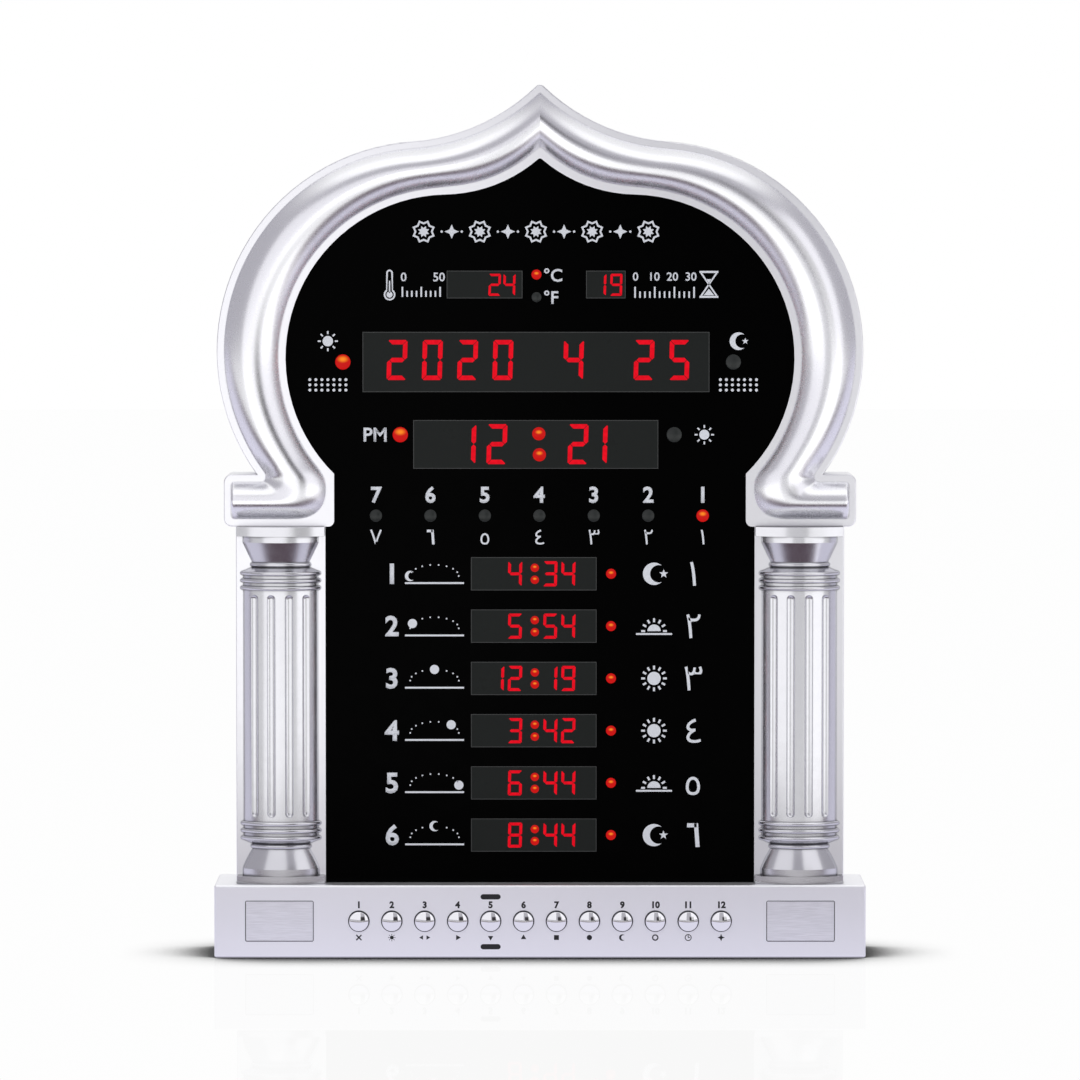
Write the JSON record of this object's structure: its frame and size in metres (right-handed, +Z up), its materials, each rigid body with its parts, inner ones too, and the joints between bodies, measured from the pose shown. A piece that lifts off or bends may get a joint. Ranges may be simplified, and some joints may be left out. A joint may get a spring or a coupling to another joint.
{
  "type": "prayer time clock",
  "caption": "Prayer-time wall and desk clock: onion-arch silver frame with pilasters, black display with LED windows, plinth with push buttons.",
  "frame": {"origin": "middle of the plinth foot, on the surface it stands on, midway between the plinth front and back planes", "axes": "+X to the reader's right, +Y from the reader towards the wall, +Z up"},
  "size_m": [0.325, 0.0587, 0.4352],
  "materials": {
    "silver_frame": "satin metallised silver",
    "silver_moulding": "satin metallised silver, smooth",
    "silver_columns": "satin metallised silver, fluted",
    "silver_plinth": "satin silver",
    "brushed_inlay": "fine horizontal brushing",
    "black_acrylic": "polished black",
    "smoked_acrylic": "polished smoked grey",
    "digit_blocks": "moulded black",
    "lamp_lens": "domed lens",
    "circuit_board": "green solder mask",
    "chip_black": "moulded epoxy",
    "brass_standoffs": "turned",
    "steel_fasteners": "zinc plated",
    "chrome_buttons": "mirror chrome",
    "cable_grey": "extruded flat cable",
    "rear_plastic": "fine sparked texture",
    "door_plastic": "fine sparked texture",
    "inlet_black": "moulded",
    "cell_steel": "nickel plated",
    "speaker_black": "black lacquer",
    "speaker_ferrite": "sintered ferrite"
  },
  "bodies": {
    "housing": {"arch_moulding": "silver_moulding", "backup_cell": "cell_steel", "base_screws": "steel_fasteners", "board_chips": "chip_black", "board_screws": "steel_fasteners", "board_standoffs": "brass_standoffs", "calendar_lamps": "lamp_lens", "clock_digits": "digit_blocks", "clock_window": "smoked_acrylic", "control_board": "circuit_board", "control_board_screws": "steel_fasteners", "counter_digits": "digit_blocks", "counter_window": "smoked_acrylic", "cover_screws": "steel_fasteners", "date_digits": "digit_blocks", "date_window": "smoked_acrylic", "dc_jack": "inlet_black", "display_panel": "black_acrylic", "front_frame": "silver_frame", "left_column": "silver_columns", "left_inlay": "brushed_inlay", "main_circuit_board": "circuit_board", "panel_clips": "steel_fasteners", "panel_screws": "steel_fasteners", "plinth_cover": "rear_plastic", "plinth_housing": "silver_plinth", "plinth_screws": "steel_fasteners", "prayer_digits": "digit_blocks", "prayer_lamps": "lamp_lens", "prayer_windows": "smoked_acrylic", "rear_cover": "rear_plastic", "ribbon_cable": "cable_grey", "right_column": "silver_columns", "right_inlay": "brushed_inlay", "speaker_basket": "speaker_black", "speaker_magnet": "speaker_ferrite", "tact_switches": "chip_black", "temperature_digits": "digit_blocks", "temperature_sensor": "chip_black", "temperature_window": "smoked_acrylic", "time_lamps": "lamp_lens", "unit_lamps": "lamp_lens", "weekday_lamps": "lamp_lens"},
    "button_01": {"button_01": "chrome_buttons"},
    "button_02": {"button_02": "chrome_buttons"},
    "button_03": {"button_03": "chrome_buttons"},
    "button_04": {"button_04": "chrome_buttons"},
    "button_05": {"button_05": "chrome_buttons"},
    "button_06": {"button_06": "chrome_buttons"},
    "button_07": {"button_07": "chrome_buttons"},
    "button_08": {"button_08": "chrome_buttons"},
    "button_09": {"button_09": "chrome_buttons"},
    "button_10": {"button_10": "chrome_buttons"},
    "button_11": {"button_11": "chrome_buttons"},
    "button_12": {"button_12": "chrome_buttons"},
    "battery_door": {"battery_door": "door_plastic"}
  },
  "joints": [
    {"name": "press_01", "type": "slide", "parent": "housing", "child": "button_01", "axis": [0, 1, 0], "range_m": [0, 0.001], "stiffness_N_per_m": 800, "springref_m": -0.001},
    {"name": "press_02", "type": "slide", "parent": "housing", "child": "button_02", "axis": [0, 1, 0], "range_m": [0, 0.001], "stiffness_N_per_m": 800, "springref_m": -0.001},
    {"name": "press_03", "type": "slide", "parent": "housing", "child": "button_03", "axis": [0, 1, 0], "range_m": [0, 0.001], "stiffness_N_per_m": 800, "springref_m": -0.001},
    {"name": "press_04", "type": "slide", "parent": "housing", "child": "button_04", "axis": [0, 1, 0], "range_m": [0, 0.001], "stiffness_N_per_m": 800, "springref_m": -0.001},
    {"name": "press_05", "type": "slide", "parent": "housing", "child": "button_05", "axis": [0, 1, 0], "range_m": [0, 0.001], "stiffness_N_per_m": 800, "springref_m": -0.001},
    {"name": "press_06", "type": "slide", "parent": "housing", "child": "button_06", "axis": [0, 1, 0], "range_m": [0, 0.001], "stiffness_N_per_m": 800, "springref_m": -0.001},
    {"name": "press_07", "type": "slide", "parent": "housing", "child": "button_07", "axis": [0, 1, 0], "range_m": [0, 0.001], "stiffness_N_per_m": 800, "springref_m": -0.001},
    {"name": "press_08", "type": "slide", "parent": "housing", "child": "button_08", "axis": [0, 1, 0], "range_m": [0, 0.001], "stiffness_N_per_m": 800, "springref_m": -0.001},
    {"name": "press_09", "type": "slide", "parent": "housing", "child": "button_09", "axis": [0, 1, 0], "range_m": [0, 0.001], "stiffness_N_per_m": 800, "springref_m": -0.001},
    {"name": "press_10", "type": "slide", "parent": "housing", "child": "button_10", "axis": [0, 1, 0], "range_m": [0, 0.001], "stiffness_N_per_m": 800, "springref_m": -0.001},
    {"name": "press_11", "type": "slide", "parent": "housing", "child": "button_11", "axis": [0, 1, 0], "range_m": [0, 0.001], "stiffness_N_per_m": 800, "springref_m": -0.001},
    {"name": "press_12", "type": "slide", "parent": "housing", "child": "button_12", "axis": [0, 1, 0], "range_m": [0, 0.001], "stiffness_N_per_m": 800, "springref_m": -0.001},
    {"name": "battery_door_slide", "type": "slide", "parent": "housing", "child": "battery_door", "axis": [0, 0, -1], "range_m": [0, 0.028]}
  ]
}
